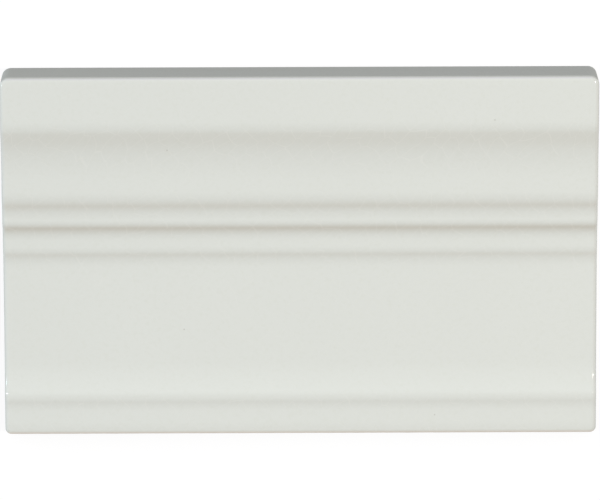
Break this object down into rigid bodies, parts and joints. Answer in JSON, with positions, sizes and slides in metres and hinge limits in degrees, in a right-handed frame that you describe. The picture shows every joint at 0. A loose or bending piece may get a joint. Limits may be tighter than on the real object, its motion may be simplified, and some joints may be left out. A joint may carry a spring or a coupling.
{
  "type": "skirting tile",
  "caption": "Glazed ivory ceramic skirting tile with a classical moulded face: plain fascia, cove, stepped fillets, flat panel and plinth, keyed back.",
  "frame": {"origin": "centre of the tile's back, on the floor it lies on", "axes": "+X along the tile's length, +Y towards its top edge as laid on a wall, +Z out of the moulded face"},
  "size_m": [0.198, 0.123, 0.0193],
  "materials": {
    "glazed_earthenware": "glossy ivory glaze on the face and its rounded rim, dull pale biscuit on the four edges and the keyed back"
  },
  "bodies": {
    "root": {"skirting_tile": "glazed_earthenware"}
  },
  "joints": []
}
